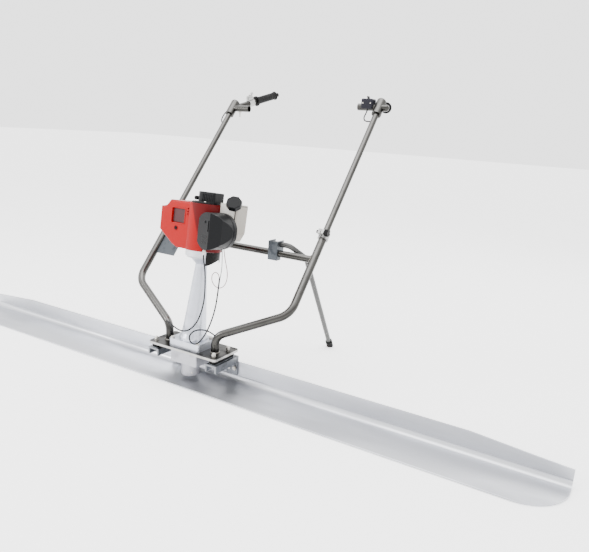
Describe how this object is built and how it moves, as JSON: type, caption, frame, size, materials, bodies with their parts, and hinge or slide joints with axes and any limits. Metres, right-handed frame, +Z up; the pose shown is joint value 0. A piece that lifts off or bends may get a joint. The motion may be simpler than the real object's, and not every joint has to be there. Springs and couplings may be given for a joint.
{
  "type": "power screed",
  "caption": "Walk-behind power screed: long L-section aluminium blade, petrol engine on a mast over an eccentric exciter, twin telescopic arms with handles, and a hinged rear stand.",
  "frame": {"origin": "centre of the blade's length on its flat sole, on the line of the arms' feet", "axes": "+X along the blade to its right-hand end seen from the front, +Y back towards the operator, +Z up"},
  "size_m": [2.5, 0.993, 1.0516],
  "materials": {
    "blade_alloy": "satin",
    "bracket_steel": "satin",
    "bolt_zinc": "satin",
    "isolator_rubber": "matt",
    "plate_steel": "satin",
    "cast_alloy": "rough",
    "mast_alloy": "satin",
    "hard_steel": "smooth",
    "weight_iron": "rough",
    "piston_alloy": "smooth",
    "plug_ceramic": "matt",
    "clutch_alloy": "satin",
    "red_plastic": "gloss",
    "dark_red_plastic": "gloss",
    "black_plastic": "satin",
    "white_plastic": "translucent",
    "muffler_steel": "matt",
    "tube_steel": "bright",
    "collar_alloy": "rough",
    "knob_plastic": "satin",
    "stand_steel": "satin",
    "grip_rubber": "matt",
    "switch_plastic": "satin",
    "cable_black": "satin",
    "wire_green": "satin",
    "wire_red": "satin"
  },
  "bodies": {
    "chassis": {"screed_blade": "blade_alloy", "blade_brackets": "bracket_steel", "bracket_bolts": "bolt_zinc", "rubber_isolators": "isolator_rubber", "base_plate": "plate_steel", "plate_bolts": "bolt_zinc", "exciter_housing": "cast_alloy", "exciter_cover": "cast_alloy", "shaft_bearings": "hard_steel", "mast": "mast_alloy", "mast_bolts": "bolt_zinc", "clutch_housing": "clutch_alloy", "crankcase": "cast_alloy", "connecting_rod": "hard_steel", "piston": "piston_alloy", "cylinder": "cast_alloy", "spark_plug": "plug_ceramic", "cylinder_cover": "red_plastic", "fan_cover": "dark_red_plastic", "recoil_cover": "black_plastic", "air_cleaner_cover": "black_plastic", "carburettor": "cast_alloy", "fuel_tank": "white_plastic", "muffler": "muffler_steel", "lower_arm_left": "tube_steel", "lower_arm_right": "tube_steel", "crossbar": "tube_steel", "corner_plate": "bracket_steel", "stand_bracket": "bracket_steel", "throttle_cable": "cable_black", "switch_cable": "cable_black", "green_wire": "wire_green", "red_wire": "wire_red"},
    "drive_line": {"drive_shaft": "hard_steel", "eccentric_weight": "weight_iron", "clutch_drum": "weight_iron"},
    "crank": {"crankshaft_halves": "hard_steel", "flywheel": "weight_iron", "clutch_shoes": "weight_iron"},
    "starter_reel": {"starter_reel": "hard_steel"},
    "pull_grip": {"pull_grip": "black_plastic"},
    "fuel_cap": {"fuel_cap": "black_plastic"},
    "stand": {"stand_leg": "stand_steel", "stand_foot": "grip_rubber"},
    "collar_left": {"clamp_collar_left": "collar_alloy"},
    "collar_right": {"clamp_collar_right": "collar_alloy"},
    "knob_left": {"clamp_knob_left": "knob_plastic"},
    "knob_right": {"clamp_knob_right": "knob_plastic"},
    "left_handle": {"upper_tube_left": "tube_steel", "handlebar_left": "tube_steel", "grip_left": "grip_rubber", "throttle_clamp": "collar_alloy", "throttle_lead": "cable_black"},
    "right_handle": {"upper_tube_right": "tube_steel", "handlebar_right": "tube_steel", "grip_right": "grip_rubber", "switch_box": "switch_plastic", "switch_lead": "cable_black"},
    "throttle_lever": {"throttle_lever": "collar_alloy"},
    "switch_toggle": {"switch_toggle": "knob_plastic"}
  },
  "joints": [
    {"name": "drive_spin", "type": "hinge", "parent": "chassis", "child": "drive_line", "pos_m": [0, 0.006, 0.123], "axis": [0, 0.1167, 0.9932], "continuous": true},
    {"name": "crank_spin", "type": "hinge", "parent": "chassis", "child": "crank", "pos_m": [0, 0.05057, 0.50239], "axis": [0, 0.1167, 0.9932], "continuous": true},
    {"name": "starter_pull", "type": "slide", "parent": "chassis", "child": "pull_grip", "axis": [-1, 0, 0], "range_m": [0, 0.65], "stiffness_N_per_m": 30, "springref_m": -0.1},
    {"name": "starter_reel_turn", "type": "hinge", "parent": "chassis", "child": "starter_reel", "pos_m": [0, 0.0662, 0.63548], "axis": [0, 0.1167, 0.9932], "range_deg": [0, 1335]},
    {"name": "fuel_cap_turn", "type": "hinge", "parent": "chassis", "child": "fuel_cap", "pos_m": [0.11, 0.06983, 0.61491], "axis": [0.3505, -0.6239, 0.6985], "range_deg": [0, 540]},
    {"name": "stand_fold", "type": "hinge", "parent": "chassis", "child": "stand", "pos_m": [0.18, 0.241, 0.484], "axis": [1, 0, 0], "range_deg": [0, 98]},
    {"name": "left_clamp_swivel", "type": "hinge", "parent": "chassis", "child": "collar_left", "pos_m": [-0.34, 0.29113, 0.5286], "axis": [0, 0.6441, 0.7649], "range_deg": [-60, 60]},
    {"name": "right_clamp_swivel", "type": "hinge", "parent": "chassis", "child": "collar_right", "pos_m": [0.34, 0.29113, 0.5286], "axis": [0, 0.6441, 0.7649], "range_deg": [-60, 60]},
    {"name": "left_handle_slide", "type": "slide", "parent": "collar_left", "child": "left_handle", "axis": [0, 0.6441, 0.7649], "range_m": [-0.13, 0.06]},
    {"name": "right_handle_slide", "type": "slide", "parent": "collar_right", "child": "right_handle", "axis": [0, 0.6441, 0.7649], "range_m": [-0.13, 0.06]},
    {"name": "left_knob_turn", "type": "hinge", "parent": "collar_left", "child": "knob_left", "pos_m": [-0.34, 0.27086, 0.54567], "axis": [-1, 0, 0], "range_deg": [0, 720]},
    {"name": "right_knob_turn", "type": "hinge", "parent": "collar_right", "child": "knob_right", "pos_m": [0.34, 0.27086, 0.54567], "axis": [1, 0, 0], "range_deg": [0, 720]},
    {"name": "throttle_turn", "type": "hinge", "parent": "left_handle", "child": "throttle_lever", "pos_m": [-0.31267, 0.74513, 1.00444], "axis": [-0.0842, -0.2806, 0.9561], "range_deg": [0, 70]},
    {"name": "stop_switch", "type": "hinge", "parent": "right_handle", "child": "switch_toggle", "pos_m": [0.294, 0.67922, 1.01847], "axis": [0, 1, 0], "range_deg": [0, 26]}
  ],
  "couplings": [
    {"joint": "starter_reel_turn", "follows": "starter_pull", "rad_per_m": 35.714}
  ]
}
